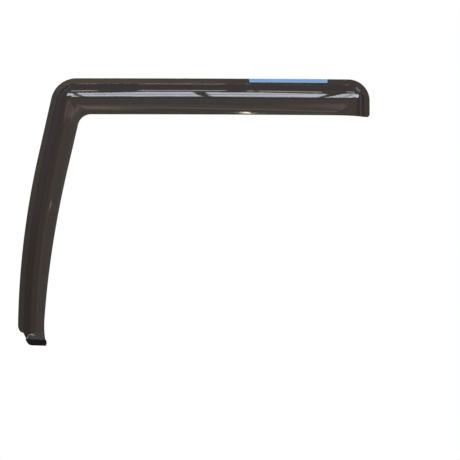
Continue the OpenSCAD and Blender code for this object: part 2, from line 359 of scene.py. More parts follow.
def straight_lines():
    """A straight blend from the last line of the leg to the first of the corner."""
    t = np.linspace(0, 1, 9)[1:-1, None]
    low, high = leg_at(bend_a, columns(leg_width(bend_a))), corner_at(0.0, columns(leg_w))
    v = columns(lerp(leg_width(bend_a), leg_w, t[:, 0]))
    return placed(lerp(low, high, t[..., None]), -wall - rise(v) * lerp(leg_share(bend_a), 1, ease(t)))


def top_lines():
    """The corner's fan, the straight run, the rear fan, and the rear end's wall down to its lower edge."""
    t = np.linspace(0, turn, 45)[:, None]
    v = columns(corner_width(t[:, 0]))
    corner = placed(corner_at(t, v), -wall - rise(v))
    v = columns(bar_h)
    s = np.linspace(0, 1, 61)[1:-1, None, None]
    run = placed(lerp(corner_at(turn, v), rear_at(0.0, v), s), -wall - rise(v))
    rear = placed(rear_at(np.linspace(0, np.pi / 2, 41)[:, None], v), -wall - rise(v))
    s = np.concatenate([np.linspace(0, 1 - RIM / END_WALL, 11)[1:], 1 - crowd[-2::-1] / END_WALL])[:, None]
    d = rear_in(v)
    end = placed(pair(top_len - d, lerp(-v - arc_r(v), rear_foot(d), s)), -wall - rise(v))
    return [corner, run, rear, end]


parts = [foot_lines(), leg_lines(), straight_lines(), *top_lines()]
front = np.concatenate(parts)
pole = sum(len(p) for p in parts[:5])
print("lines:", [len(p) for p in parts], "in all", len(front))

# %% [markdown]
# ## From a surface to a sheet with rounded edges
#
# A real sheet has a thickness and softly broken edges. One way is a Solidify and a Bevel modifier. Here both
# come from one formula instead: the front and back surfaces stand off the middle surface by half the wall, and
# over the last millimetre before an edge that distance closes to nothing along a rounded curve. The two
# surfaces then share the edge's points, so that the sheet is closed with nothing left to merge.


# %% Normals, distance to the edge, and the rounding
def normals(grid):
    """Unit normals: the cross product of the differences along both directions of the grid, facing -Y."""
    n = np.cross(np.gradient(grid, axis=0), np.gradient(grid, axis=1))
    n /= np.maximum(np.linalg.norm(n, axis=-1, keepdims=True), 1e-12)
    return n * np.where(n[..., 1:2] > 0, -1, 1)


def edge_distance(grid, rim):
    """Distance in the plane of the window from each point to the nearest piece of the edge's line."""
    p = grid.reshape(-1, 3)[:, None, ::2]
    a, b = rim[None, :-1, ::2], rim[None, 1:, ::2]
    ab = b - a
    t = share_of(((p - a) * ab).sum(-1) / np.maximum((ab * ab).sum(-1), 1e-12))
    return np.linalg.norm(p - a - t[..., None] * ab, axis=-1).min(1).reshape(grid.shape[:2])


def rounding(distance, reach, power=2.6):
    """Share of the half thickness at a distance from the edge: a rounded curve from 0 to 1 over the reach."""
    return (1 - share_of(1 - distance / reach) ** power) ** (1 / power)


# %% Grids to a closed mesh
def grid_faces(index):
    """Four-cornered faces of a grid of point numbers."""
    return np.stack([index[:-1, :-1], index[1:, :-1], index[1:, 1:], index[:-1, 1:]], -1).reshape(-1, 4)


def volume(points, quads):
    """Six times the signed volume: the sum of a . (b x c) over both triangles of each face."""
    a, b, c, d = (points[quads[:, i]] for i in range(4))
    return (a * (np.cross(b, c) + np.cross(c, d))).sum()


def add_mesh(name, points, quads, attributes=()):
    """A mesh object from points in mm. Faces with two equal corners become triangles; unused points go.

    A closed shape whose volume comes out negative is inside out, so its faces are turned round."""
    used, quads = np.unique(quads, return_inverse=True)
    quads, points = quads.reshape(-1, 4), points[used]
    if volume(points, quads) < 0:
        quads = quads[:, ::-1]
    same = quads == np.roll(quads, -1, 1)
    faces = quads[~same.any(1)].tolist()
    thin = quads[same.sum(1) == 1]
    faces += thin[~same[same.sum(1) == 1]].reshape(-1, 3).tolist()
    mesh = bpy.data.meshes.new(name)
    mesh.from_pydata((points * MM).tolist(), [], faces)
    mesh.shade_smooth()
    for label, values in attributes:
        mesh.attributes.new(label, "FLOAT", "POINT").data.foreach_set("value", values[used].astype(np.float32))
    mesh.update()
    piece = bpy.data.objects.new(name, mesh)
    bpy.context.scene.collection.objects.link(piece)
    print(f"{name}: {len(points)} points, {len(faces)} faces")
    return piece


def sheet_numbers(shape, start=0, pole_line=None, open_end=False):
    """Point numbers of a sheet's front and back. They share the edge's points, and after the pole one point."""
    front_no = start + np.arange(shape[0] * shape[1]).reshape(shape)
    if pole_line is not None:
        front_no[pole_line:, -1] = front_no[pole_line, -1]
    back_no = front_no + shape[0] * shape[1]
    back_no[0], back_no[:, 0], back_no[:, -1] = front_no[0], front_no[:, 0], front_no[:, -1]
    if not open_end:
        back_no[-1] = front_no[-1]
    return front_no, back_no


# %% [markdown]
# ## The smoked visor
#
# The grid above is the front surface. Its middle surface lies half a wall behind it. Every point keeps two
# numbers for the material. One is its distance to the edge, because the edge is painted darker there, a painted
# shade for the longer path of light through the edge, and a trimmed edge is duller than the polished faces. The
# other says how far the sheet was drawn out where it turns steeply, because a thinner sheet is paler.

# %% Build the visor
PALER_FROM, PALEST_AT = 1.5, 2.0  # how many times its length the sheet is drawn to where it pales
normal = normals(front)
middle = front - normal * wall / 2
middle[pole:, -1] = middle[pole, -1]
rim_line = np.concatenate([middle[:, 0], middle[-1], middle[::-1, -1], middle[0, ::-1]])
to_edge = edge_distance(middle, rim_line)
half = (rounding(to_edge, RIM, 4.0) * wall / 2)[..., None]
# The sheet gets longer by 1 / cos(steepness), and that shows most of all at the slope's foot.
stretch = 1 / np.maximum(-normal[..., 1], 0.3)
up_slope = share_of((columns(bar_h) - heel_end) / (slope_end - heel_end))
drawn = share_of((stretch - PALER_FROM) / (PALEST_AT - PALER_FROM)) * lerp(1.0, 0.5, up_slope)
front_no, back_no = sheet_numbers(front.shape[:2], pole_line=pole)
both = np.concatenate([(middle + normal * half).reshape(-1, 3), (middle - normal * half).reshape(-1, 3)])
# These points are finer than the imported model's, and the crest would pass its box by a thousandth of a mm.
visor = add_mesh(
    "visor_shell",
    np.clip(both, np.array(cad_box[0]) / MM, np.array(cad_box[1]) / MM),
    np.concatenate([grid_faces(front_no), grid_faces(back_no)[:, ::-1]]),
    [("edge_mm", np.tile(to_edge.ravel(), 2)), ("drawn", np.tile(drawn.ravel(), 2))],
)
print("most drawn out:", round(float(drawn.max()), 2), "on", int((drawn > 0.3).sum()), "points")

# %% [markdown]
# ## The tape and its liner
#
# The foam tape lies on the front face of the top flange and follows the fall of the roof line. The pale blue
# liner still covers it. Its rear end has begun to lift, as such a film does, and it has a slow ripple and one
# soft crease. Both are thin strips: the same rounded sheet again, on a grid along and across the strip.

# %% Build a strip on the top flange
STRIP_EDGE = 0.45  # width of a strip's rounded edge, as a share of its thickness
strip_x = top_len - tape_from_rear - tape_len / 2
strip_fall = np.arctan(roof_fall(strip_x + 0.5) - roof_fall(strip_x - 0.5))


def add_strip(name, near, far, lift):
    """A strip between two depths in front of the flange. The lift bends its middle surface away from it."""
    reach = STRIP_EDGE * (far - near)
    edge = crowd / RIM * reach

    def crossing(length, count):
        """Numbers from one edge to the other, crowded at both."""
        inner = np.linspace(reach - length / 2, length / 2 - reach, count)[1:-1]
        return np.concatenate([edge - length / 2, inner, length / 2 - edge[::-1]])

    s, w = np.meshgrid(crossing(tape_len, 181), crossing(tape_w, 15), indexing="ij")
    centre = placed(np.array([strip_x, -tape_from_edge - tape_w / 2]), -wall - (near + far) / 2)
    surface = np.stack(
        [
            centre[0] + s * np.cos(strip_fall) + w * np.sin(strip_fall),
            centre[1] - lift(s, w),
            centre[2] - s * np.sin(strip_fall) + w * np.cos(strip_fall),
        ],
        -1,
    )
    distance = np.minimum(tape_len / 2 - abs(s), tape_w / 2 - abs(w))
    offset = normals(surface) * (rounding(distance, reach) * (far - near) / 2)[..., None]
    front_no, back_no = sheet_numbers(s.shape)
    points = np.concatenate([(surface + offset).reshape(-1, 3), (surface - offset).reshape(-1, 3)])
    faces = np.concatenate([grid_faces(front_no), grid_faces(back_no)[:, ::-1]])
    return add_mesh(name, points, faces, [("along_mm", np.tile(s.ravel(), 2))])


tape = add_strip("foam_tape", 0, tape_t, lambda s, w: 0 * s)


# %% The liner lifts at its rear end
PEEL_LEN, PEEL_RISE = 11.0, 0.75  # all lengths here in mm
RIPPLE_LEN, RIPPLE_RISE = 37.0, 0.03
CREASE_AT, CREASE_W, CREASE_RISE = -31.0, 1.4, 0.06


def liner_lift(s, w):
    """A parabola over the peeled length, a slow ripple along the strip, and one soft crease across it."""
    peel = PEEL_RISE * share_of((s - tape_len / 2 + PEEL_LEN) / PEEL_LEN) ** 2 * (1 + 0.5 * w / tape_w)
    ripple = RIPPLE_RISE * (1 + np.sin(s * 2 * np.pi / RIPPLE_LEN)) * (w / tape_w) ** 2
    crease = CREASE_RISE * np.exp(-(((s - CREASE_AT + 0.6 * w) / CREASE_W) ** 2))
    return peel + ripple + crease


liner = add_strip("liner_film", tape_t, tape_t + liner_t, liner_lift)

# %% [markdown]
# ## The end cap
#
# The cap is moulded rubber, a sleeve over the tip of the leg. Its outside is the tip's own surface grown by the
# rubber's thickness and the clearance, and its pocket is the same surface grown by the clearance alone. The two
# are joined round the mouth by a soft lip.


# %% The tip of the moulding, grown on all sides
def grown_tip(grow, above, lines=34, across_count=61):
    """The front surface of the tip from below its grown end up to the top line, with crowded edges."""
    start = flange_w + (flange_stop - cap_len - above) * foot_slant / flange_stop - grow
    s = (1 - np.cos(np.linspace(0, np.pi, across_count))) / 2
    v_tip = lerp(start, tip_w + grow, s)
    top = tip_a - above - lerp(cap_len, cap_len_free, (v_tip - flange_w) / (tip_w - flange_w))
    rounded = corner_lift(1.2 * grow, tip_w + grow - v_tip)
    low = foot_end(np.minimum(tip_w, v_tip + grow * (1 - s) ** 2)) + grow - rounded
    a = lerp(top, low, np.sin(np.linspace(np.pi / 2, 0, lines))[:, None])
    v = lerp(start, leg_width(a) + grow, s)
    return placed(leg_at(a, v), -wall - rise(v) * leg_share(a))


def tip_sheet(grow, above, reach):
    """Front and back of the grown tip, closed at its lower end and both sides, open at the top."""
    surface = grown_tip(grow, above)
    n = normals(surface)
    middle = surface - n * wall / 2
    rim = np.concatenate([middle[::-1, 0], middle[0], middle[:, -1]])
    offset = n * (rounding(edge_distance(middle, rim), reach, 2.2) * (wall / 2 + grow))[..., None]
    points = np.concatenate([(middle + offset).reshape(-1, 3), (middle - offset).reshape(-1, 3)])
    return points, surface.shape[:2]


# %% Join the cap's outside and its pocket
def ring(front_no, back_no):
    """Point numbers once round the open end of a sheet."""
    return np.concatenate([front_no[-1], back_no[-1, -2:0:-1]])


LIP_RISE = 0.45  # how far the lip's crest stands above the mouth
outside, shape = tip_sheet(cap_gap + cap_t, 0, reach=2.4)
pocket, _ = tip_sheet(cap_gap, cap_t, reach=0.9)
out_front, out_back = sheet_numbers(shape, open_end=True)
in_front, in_back = sheet_numbers(shape, start=len(outside), open_end=True)
out_ring, in_ring = ring(out_front, out_back), ring(in_front, in_back)
cap_points = np.concatenate([outside, pocket])
lip = (cap_points[out_ring] + cap_points[in_ring]) / 2 + [0, 0, LIP_RISE]
lip_ring = len(cap_points) + np.arange(len(lip))


def ring_faces(a, b):
    """Faces between two closed rings of point numbers."""
    return np.stack([a, np.roll(a, -1), np.roll(b, -1), b], -1)


cap = add_mesh(
    "rubber_cap",
    np.concatenate([cap_points, lip]),
    np.concatenate(
        [
            grid_faces(out_front),
            grid_faces(out_back)[:, ::-1],
            grid_faces(in_front)[:, ::-1],
            grid_faces(in_back),
            ring_faces(out_ring, lip_ring)[:, ::-1],
            ring_faces(lip_ring, in_ring)[:, ::-1],
        ]
    ),
)

# %% [markdown]
# ## Effects that the materials share
#
# Three small node groups serve the finishes of the acrylic, the liner and the rubber. One gives the long, slow
# waves of a moulded sheet, one gives faint wipe marks and dust, and one tells the trimmed edge from the faces.
# Each reads the object's own coordinates, in metres, so it stays on the piece whatever the view.


# %% A helper to make a node group
def new_group(name, inputs, outputs):
    """A shader node group with number inputs (name, default) and named outputs."""
    tree = bpy.data.node_groups.new(name, "ShaderNodeTree")
    for label, default in inputs:
        tree.interface.new_socket(label, in_out="INPUT", socket_type="NodeSocketFloat").default_value = default
    for label in outputs:
        tree.interface.new_socket(label, in_out="OUTPUT", socket_type="NodeSocketFloat")
    return tree, tree.nodes.new("NodeGroupInput").outputs, tree.nodes.new("NodeGroupOutput").inputs


def add_node(tree, kind, links=(), **settings):
    """A node with settings, and links from other sockets or plain values for its inputs."""
    node = tree.nodes.new(kind)
    for key, value in settings.items():
        setattr(node, key, value)
    for socket, value in dict(links).items():
        if isinstance(value, bpy.types.NodeSocket):
            tree.links.new(value, node.inputs[socket])
        else:
            node.inputs[socket].default_value = value
    return node


def noise(tree, stretch, scale, detail=2.0, roughness=0.5):
    """A noise value on object coordinates, stretched by a Mapping node."""
    place = add_node(tree, "ShaderNodeTexCoord").outputs["Object"]
    mapped = add_node(tree, "ShaderNodeMapping", {"Vector": place, "Scale": stretch}).outputs[0]
    links = {"Vector": mapped, "Scale": scale, "Detail": detail, "Roughness": roughness}
    return add_node(tree, "ShaderNodeTexNoise", links).outputs["Fac"]


def maths(tree, operation, a, b=0.0, c=0.0):
    """The value of one Math node."""
    return add_node(tree, "ShaderNodeMath", {0: a, 1: b, 2: c}, operation=operation).outputs[0]


# %% The three shared effects
def make_moulded_waves():
    """Height = waves x long noise along the part + grain x fine noise."""
    inputs = [("Waves", 1.0), ("Grain", 0.1), ("Grain Scale", 400.0)]
    tree, given, out = new_group("moulded_waves", inputs, ["Height"])
    long_noise = noise(tree, (0.35, 1.0, 1.0), 14.0, 1.0)
    fine = noise(tree, (1.0, 1.0, 1.0), given["Grain Scale"], 2.0)
    grain = maths(tree, "MULTIPLY", fine, given["Grain"])
    tree.links.new(maths(tree, "MULTIPLY_ADD", long_noise, given["Waves"], grain), out["Height"])
    return tree


def make_wipe_marks():
    """Mask = long faint streaks raised to a power, plus sparse specks."""
    tree, given, out = new_group("wipe_marks", [("Streaks", 0.6), ("Specks", 0.4)], ["Mask"])
    streak = maths(tree, "POWER", noise(tree, (0.12, 1.0, 1.0), 90.0, 4.0, 0.6), 3.0)
    speck = noise(tree, (1.0, 1.0, 1.0), 900.0, 1.0)
    speck = maths(tree, "MULTIPLY", maths(tree, "GREATER_THAN", speck, 0.7), given["Specks"])
    tree.links.new(maths(tree, "MULTIPLY_ADD", streak, given["Streaks"], speck), out["Mask"])
    return tree


def make_trimmed_edge():
    """Mask = 1 at the piece's edge, falling to 0 over the given width in mm; the edge wavers slightly."""
    tree, given, out = new_group("trimmed_edge", [("Width", 2.0)], ["Mask"])
    distance = add_node(tree, "ShaderNodeAttribute", attribute_name="edge_mm").outputs["Fac"]
    share = maths(tree, "DIVIDE", distance, given["Width"])
    waver = maths(tree, "MULTIPLY_ADD", noise(tree, (1.0, 1.0, 1.0), 120.0), 0.4, -0.2)
    mask = maths(tree, "SUBTRACT", 1.0, maths(tree, "ADD", share, waver))
    mask = add_node(tree, "ShaderNodeClamp", {"Value": mask}).outputs[0]
    tree.links.new(mask, out["Mask"])
    return tree


groups = {f.__name__[5:]: f() for f in (make_moulded_waves, make_wipe_marks, make_trimmed_edge)}
print("shared effects:", sorted(groups))


# %% Helpers to build a material
def new_material(name, **plain):
    """A material, with plain values set on its Principled shader's own sockets."""
    material = bpy.data.materials.new(name)
    material.use_nodes = True
    shader = material.node_tree.nodes["Principled BSDF"]
    for label, value in plain.items():
        shader.inputs[label.replace("_", " ")].default_value = value
    return material.node_tree, shader, material


def effect(tree, name, **given):
    """The first output of a shared effect, with this material's own values."""
    node = add_node(tree, "ShaderNodeGroup", node_tree=groups[name])
    for label, value in given.items():
        node.inputs[label.replace("_", " ")].default_value = value
    return node.outputs[0]


def blend(tree, mask, a, b):
    """Colour a where the mask is 0, and b where it is 1. Colour a may come from another node."""
    node = tree.nodes.new("ShaderNodeMix")
    node.data_type = "RGBA"
    tree.links.new(mask, node.inputs[0])
    if isinstance(a, bpy.types.NodeSocket):
        tree.links.new(a, node.inputs[6])
    else:
        node.inputs[6].default_value = (*a, 1.0)
    node.inputs[7].default_value = (*b, 1.0)
    return node.outputs[2]


def add_bump(tree, shader, height, distance):
    """A Bump node whose height is in shares of the distance, in metres."""
    bump = add_node(tree, "ShaderNodeBump", {"Height": height, "Distance": distance, "Strength": 1.0})
    tree.links.new(bump.outputs[0], shader.inputs["Normal"])


def set_colour(tree, shader, colour):
    """Link a colour to the shader."""
    tree.links.new(colour, shader.inputs["Base Color"])


# %% [markdown]
# ## Smoked acrylic
#
# The sheet lets little light through, and what comes through is a warm dark brown. Polished acrylic mirrors the
# studio softly at every angle and strongly at a glancing one, which a clear shader with a dark tint gives by
# itself. The tint is paler where the sheet was drawn out. At its trimmed edge it is painted darker, a painted
# shade for the longer path of light through the edge.

# %% The acrylic
SMOKE = (0.0165, 0.0105, 0.0075)
SMOKE_THIN = (0.040, 0.033, 0.029)
# Painted shade: the darker tint at the edge stands for the longer path of light through the edge.
SMOKE_EDGE_PAINTED_SHADE = (0.006, 0.004, 0.003)
tree, shader, acrylic = new_material("smoked_acrylic_gloss", Transmission_Weight=1.0, IOR=1.49)
edge_shade_and_dull_mask = effect(tree, "trimmed_edge", Width=2.2)
marks = effect(tree, "wipe_marks", Streaks=0.35, Specks=0.25)
drawn_mask = add_node(tree, "ShaderNodeAttribute", attribute_name="drawn").outputs["Fac"]
tint = blend(tree, drawn_mask, SMOKE, SMOKE_THIN)
# The edge mask paints the darker edge tint, a painted shade, and below it makes the edge duller.
set_colour(tree, shader, blend(tree, edge_shade_and_dull_mask, tint, SMOKE_EDGE_PAINTED_SHADE))
rough = maths(tree, "MULTIPLY_ADD", marks, 0.05, 0.022)
tree.links.new(maths(tree, "MULTIPLY_ADD", edge_shade_and_dull_mask, 0.22, rough), shader.inputs["Roughness"])
add_bump(tree, shader, effect(tree, "moulded_waves", Waves=1.0, Grain=0.004, Grain_Scale=420.0), 0.00022)

# %% [markdown]
# ## Foam, film and rubber
#
# The foam is dull, with small closed cells. The liner is a satin film, a little paler where it has lifted. The
# rubber is black with a fine moulded grain and a dull, broad shine.

# %% The foam, the liner's film and the rubber
tree, shader, foam = new_material("tape_foam", Roughness=0.95)
cells = noise(tree, (1.0, 1.0, 1.0), 1600.0, 2.0)
set_colour(tree, shader, blend(tree, cells, (0.035, 0.035, 0.038), (0.12, 0.12, 0.13)))
add_bump(tree, shader, cells, 0.0002)

tree, shader, film = new_material("liner_satin_film", IOR=1.5)
along = add_node(tree, "ShaderNodeAttribute", attribute_name="along_mm").outputs["Fac"]
lifted = add_node(tree, "ShaderNodeMapRange", {"Value": along, "From Min": 74.0, "From Max": 84.0}).outputs[0]
stain = noise(tree, (0.15, 1.0, 1.0), 60.0, 3.0)
pale = maths(tree, "MULTIPLY_ADD", lifted, 0.7, maths(tree, "MULTIPLY", stain, 0.3))
set_colour(tree, shader, blend(tree, pale, (0.105, 0.270, 0.520), (0.150, 0.330, 0.560)))
marks = effect(tree, "wipe_marks", Streaks=0.8, Specks=0.2)
tree.links.new(maths(tree, "MULTIPLY_ADD", marks, 0.3, 0.32), shader.inputs["Roughness"])
add_bump(tree, shader, effect(tree, "moulded_waves", Waves=0.6, Grain=0.05, Grain_Scale=700.0), 0.0003)

tree, shader, rubber = new_material("cap_rubber", IOR=1.52, Specular_IOR_Level=0.06)
worn = noise(tree, (1.0, 1.0, 1.0), 140.0, 4.0)
set_colour(tree, shader, blend(tree, worn, (0.0030, 0.0030, 0.0030), (0.0062, 0.0060, 0.0059)))
marks = effect(tree, "wipe_marks", Streaks=0.5, Specks=0.3)
tree.links.new(maths(tree, "MULTIPLY_ADD", marks, 0.25, 0.40), shader.inputs["Roughness"])
add_bump(tree, shader, effect(tree, "moulded_waves", Waves=0.3, Grain=0.22, Grain_Scale=1500.0), 0.0002)
print("materials:", [m.name for m in (acrylic, foam, film, rubber)])

# %% [markdown]
# ## Each piece takes the place of its solid
#
# The imported solids stay in the model for collision. Each piece here stands for one of them, rides on the one
# body of the part, and takes the finish made for it above.

# %% Dress the pieces
for piece, node, material, slot in (
    (visor, "smoked_visor", acrylic, "smoked_acrylic"),
    (tape, "adhesive_tape", foam, "foam_tape"),
    (liner, "tape_liner", film, "liner_film"),
    (cap, "end_cap", rubber, "black_rubber"),
):
    piece.data.materials.append(material)
    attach(piece, "root")
    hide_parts(node)

# %% [markdown]
# ## The studio
#
# The photograph was taken in front of plain white, under large soft lights. The world is plain white where the
# camera, a mirror image or light through the acrylic meets it, and lights the part at a plain level.

# %% The world and the floor
LIGHT_LEVEL = 0.80
FLOOR_R, FLOOR_Z = 2600.0, -1300.0
world = bpy.data.worlds.new("white_studio")
bpy.context.scene.world = world
world.use_nodes = True
tree = world.node_tree
path = add_node(tree, "ShaderNodeLightPath").outputs
seen = maths(tree, "MAXIMUM", path["Is Camera Ray"], path["Is Transmission Ray"])
seen = maths(tree, "MAXIMUM", seen, path["Is Glossy Ray"])
level = maths(tree, "MULTIPLY_ADD", seen, 1.0 - LIGHT_LEVEL, LIGHT_LEVEL)
tree.links.new(level, tree.nodes["Background"].inputs["Strength"])
tree.nodes["Background"].inputs["Color"].default_value = (1.0, 1.0, 1.0, 1.0)

tree, shader, paper = new_material("pale_floor", Roughness=0.9)
shade = noise(tree, (1.0, 1.0, 1.0), 3.0)
set_colour(tree, shader, blend(tree, shade, (0.90, 0.90, 0.89), (0.94, 0.94, 0.93)))
r, t = np.meshgrid(np.linspace(0, FLOOR_R, 14), np.linspace(0, 2 * np.pi, 73)[:-1], indexing="ij")
disc = np.stack([r * np.cos(t), r * np.sin(t), 0 * r + FLOOR_Z], -1)
numbers = np.arange(r.size).reshape(r.shape)
numbers[0] = 0
numbers = np.concatenate([numbers, numbers[:, :1]], 1)
floor = add_mesh("floor", disc.reshape(-1, 3), grid_faces(numbers)[:, ::-1])
floor.data.materials.append(paper)


# %% Soft lamps, which no mirror image shows
def add_lamp(name, place, size, watts):
    """A square area lamp that faces the middle of the part."""
    data = bpy.data.lights.new(name, "AREA")
    data.energy, data.size = watts, size
    lamp = bpy.data.objects.new(name, data)
    lamp.location = place
    aim = np.array([0, 0, -0.3]) - place
    lamp.rotation_euler = (np.arccos(-aim[2] / np.linalg.norm(aim)), 0, np.arctan2(aim[1], aim[0]) - np.pi / 2)
    lamp.visible_glossy = False
    bpy.context.scene.collection.objects.link(lamp)
    return lamp


add_lamp("key_lamp", (-1.4, -2.4, 1.6), 1.6, 26.0)
add_lamp("fill_lamp", (1.8, -2.0, 0.4), 1.4, 10.0)

# %% [markdown]
# ## What the acrylic mirrors
#
# A polished dark sheet shows its surroundings more than its own colour, so the studio's surroundings are made
# too: the warm wall of the room on the camera's side, its side walls, a large softbox above the part, and a
# low tube of light. Each is a grid of points in metres, and each point's glow is worked out from soft shapes.
# Only mirror images show them. They give no light to the part, and the camera doesn't see them.


# %% Soft shapes of light
def between(value, low, high, edge):
    """1 between low and high, and 0 outside, with an eased step of the edge's width at both ends."""
    return ease((value - low) / edge + 0.5) * ease((high - value) / edge + 0.5)


def near_line(x, z, corners, width):
    """exp(-(d / width) squared), where d is the distance to the line through the corners."""
    nearest = np.full(np.shape(x), np.inf)
    for (ax, az), (bx, bz) in zip(corners, corners[1:]):
        t = share_of(((x - ax) * (bx - ax) + (z - az) * (bz - az)) / ((bx - ax) ** 2 + (bz - az) ** 2))
        nearest = np.minimum(nearest, (x - lerp(ax, bx, t)) ** 2 + (z - lerp(az, bz, t)) ** 2)
    return np.exp(-nearest / width**2)


def tinted(mask, colour):
    """The colour, times the mask at every point."""
    return mask[..., None] * np.array(colour)


def toward(light, mask, colour):
    """The light, blended to the colour by the mask."""
    return light + mask[..., None] * (np.array(colour) - light)


def spaced(*parts):
    """Numbers from (start, count) to the next start, the last part being the end alone."""
    starts = [p[0] for p in parts]
    steps = [np.linspace(a, b, p[1], endpoint=False) for a, b, p in zip(starts, starts[1:], parts)]
    return np.concatenate(steps + [[starts[-1]]])


def add_glow(name, place, glow, u, v):
    """A grid of points at place(u, v), in metres, whose glow(u, v) mirror images alone show."""
    u, v = np.meshgrid(u, v, indexing="ij")
    points = np.stack(np.broadcast_arrays(*place(u, v)), -1).reshape(-1, 3)
    sheet = add_mesh(name, points / MM, grid_faces(np.arange(u.size).reshape(u.shape)))
    colours = np.ones((u.size, 4), np.float32)
    colours[:, :3] = np.maximum(0, glow(u, v)).reshape(-1, 3)
    sheet.data.attributes.new("glow", "FLOAT_COLOR", "POINT").data.foreach_set("color", colours.ravel())
    material = bpy.data.materials.new(name)
    material.use_nodes = True
    tree = material.node_tree
    tree.nodes.remove(tree.nodes["Principled BSDF"])
    colour = add_node(tree, "ShaderNodeAttribute", attribute_name="glow").outputs["Color"]
    light = add_node(tree, "ShaderNodeEmission", {"Color": colour})
    tree.links.new(light.outputs[0], tree.nodes["Material Output"].inputs["Surface"])
    sheet.data.materials.append(material)
    for ray in ("camera", "diffuse", "transmission", "volume_scatter", "shadow"):
        setattr(sheet, "visible_" + ray, False)
    return sheet


# %% The wall on the camera's side
WALL_Y, SIDE_X = -9.5, 4.2  # depth of the far wall, and distance of each side wall from the middle
WALL_LINES = (  # the corners of a soft line as (x, z), its half width, and its colour
    ([(-0.5, 1.74), (-0.1, 1.74), (0.03, 1.6), (0.3, 1.5)], 0.07, (0.5, 0.3, 0.2)),
    ([(-2.61, 0.59), (-2.2, 0.55), (-1.7, 0.68)], 0.06, (1.0, 0.75, 0.6)),
    ([(-1.7, 0.68), (-0.68, 1.5)], 0.20, (0.95, 0.7, 0.55)),
    ([(-0.61, 1.62), (-0.57, 1.5), (-0.53, 1.24), (-0.44, 1.2)], 0.11, (0.75, 0.55, 0.42)),
    ([(0.58, 1.8), (0.95, 0.95), (1.3, 0.75)], 0.22, (1.0, 0.8, 0.65)),
)
WALL_PATCHES = (  # a patch's ends and edge width along x, the same along z, and its colour
    ((-0.72, 0.0, 0.16), (0.26, 0.36, 0.03), (0.62, 0.42, 0.24)),
    ((0.0, 0.6, 0.2), (0.60, 0.80, 0.08), (0.5, 0.42, 0.35)),
    ((-2.1, -1.3, 0.5), (-1.2, 0.4, 0.4), (0.20, 0.22, 0.25)),
)


def wall_glow(x, z):
    """Warm grey, paler above, with soft lines and patches, a brown band, a rail, two lamps and streaks."""
    light = np.broadcast_to([0.92, 0.83, 0.78], x.shape + (3,)).copy()
    light = toward(light, ease((z - 1.9) / 1.6), (1.20, 1.10, 1.08))
    light = toward(light, ease((-3.1 - x) / 1.1), (0.62, 0.57, 0.60))
    light = toward(light, between(x, -1.1, -0.7, 0.2) * ease((-0.05 - z) / 0.5), (0.63, 0.60, 0.58))
    for corners, width, colour in WALL_LINES:
        light += tinted(near_line(x, z, corners, width), colour)
    for along_x, along_z, colour in WALL_PATCHES:
        light += tinted(between(x, *along_x) * between(z, *along_z), colour)

    # The band sinks towards the rear. Its front end is wider and weaker.
    band_z = np.interp(x, [-0.53, -0.29, 0.035, 0.27, 0.444, 0.6], [1.38, 1.45, 1.29, 1.19, 1.06, 0.95])
    half_width, strength = np.interp(x, [-0.3, -0.1], [0.13, 0.07]), np.interp(x, [-0.3, -0.1], [0.5, 1])
    band = between(x, -0.58, 0.66, 0.08) * np.exp(-(((z - band_z) / half_width) ** 2)) * strength
    light += tinted(band, (1.5, 1.15, 0.85))

    # The rail is at the far left, and is lit above its lower edge alone.
    above = ease((z - np.interp(x, [-4.2, -3.6, -3.1, -2.5], [0.88, 0.76, 0.66, 0.54])) / 0.02)
    light += tinted(between(x, -4.6, -3.35, 0.2) * above * between(z, 0, 1.1, 0.1), (0.95, 0.65, 0.60))
    rail_end = near_line(x, z, [(-3.12, 0.705), (-2.9, 0.65), (-2.6, 0.58)], 0.05)
    light += tinted(rail_end * above, (0.9, 0.65, 0.55))

    # One lamp shows under the middle of the top run, and the other on the leg.
    lamp = between(x + 0.036 * (z - 0.776), 0.0955, 0.1185, 0.008) * between(z, 0.545, 0.885, 0.04)
    light += tinted(lamp, (33.0, 31.0, 24.0))
    lamp = np.exp(-(((x + 2.92) / 0.055) ** 2)) * between(z, -0.145, -0.075, 0.04)
    light += tinted(lamp, (5.5, 4.6, 3.0))

    streaks = np.sin(31 * x + 2 * np.sin(5 * x)) * np.sin(11 * x + 1.3)
    streaks = streaks * ease((0.6 - z) / 0.3) * ease((-1.4 - x) / 0.4)
    return light + tinted(streaks, (0.30, 0.26, 0.26))


wall_x = spaced((-SIDE_X, 24), (-3.8, 80), (-1.0, 66), (0.07, 26), (0.148, 40), (0.8, 30), (SIDE_X, 0))
wall_z = spaced((-3.6, 10), (-1.2, 20), (-0.25, 26), (0.2, 170), (1.9, 24), (3.4, 0))
add_glow("room_wall", lambda x, z: (x, WALL_Y, z), wall_glow, wall_x, wall_z)


# %% The softbox above the part
BOX_Y, BOX_Z = (-2.09, -0.05), (0.68, 1.50)  # of its front and lower side, s = 0, and of the other, s = 1
PANEL_LIGHT, CREAM_LIGHT = (10.5, 11.3, 12.7), (5.0, 4.5, 3.9)


